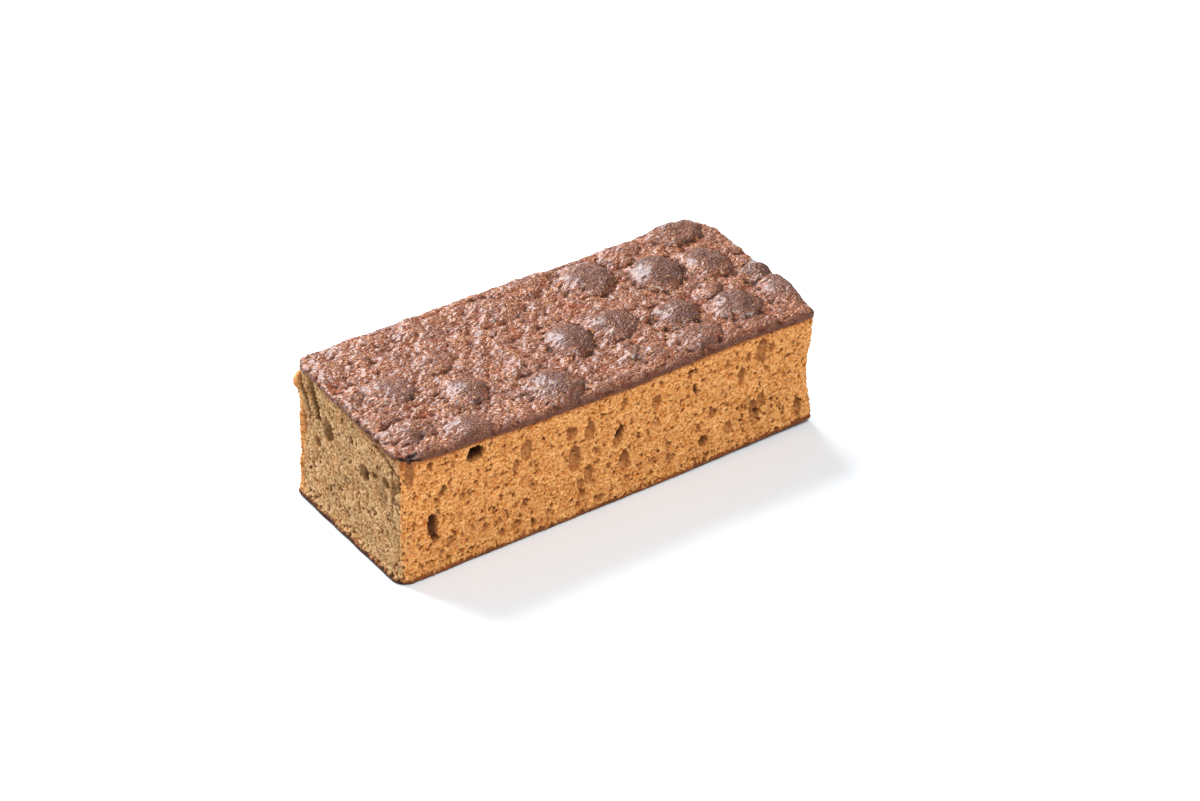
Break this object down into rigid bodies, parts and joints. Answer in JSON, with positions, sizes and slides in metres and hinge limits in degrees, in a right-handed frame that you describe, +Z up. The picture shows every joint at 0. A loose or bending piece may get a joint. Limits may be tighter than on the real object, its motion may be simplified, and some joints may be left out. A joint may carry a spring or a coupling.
{
  "type": "honey cake",
  "caption": "Oblong honey cake with a blistered brown crust on top, porous cut sides and a thin dark base crust, lying flat to be sliced and served.",
  "frame": {"origin": "on the table, under the middle of the cake's outline", "axes": "+X along the cake, from the end with the torn corner to the end that lifts slightly; +Y from the front cut face to the back one; +Z up, out of the blistered crust"},
  "size_m": [0.2024, 0.081, 0.0661],
  "materials": {
    "cake": "matt cut crumb, orange tan, full of small air holes",
    "crust": "red brown blistered top crust with a faint satin glaze",
    "base_crust": "thin dark brown base crust, dry and matt"
  },
  "bodies": {
    "root": {"honey_cake": "cake"}
  },
  "joints": []
}
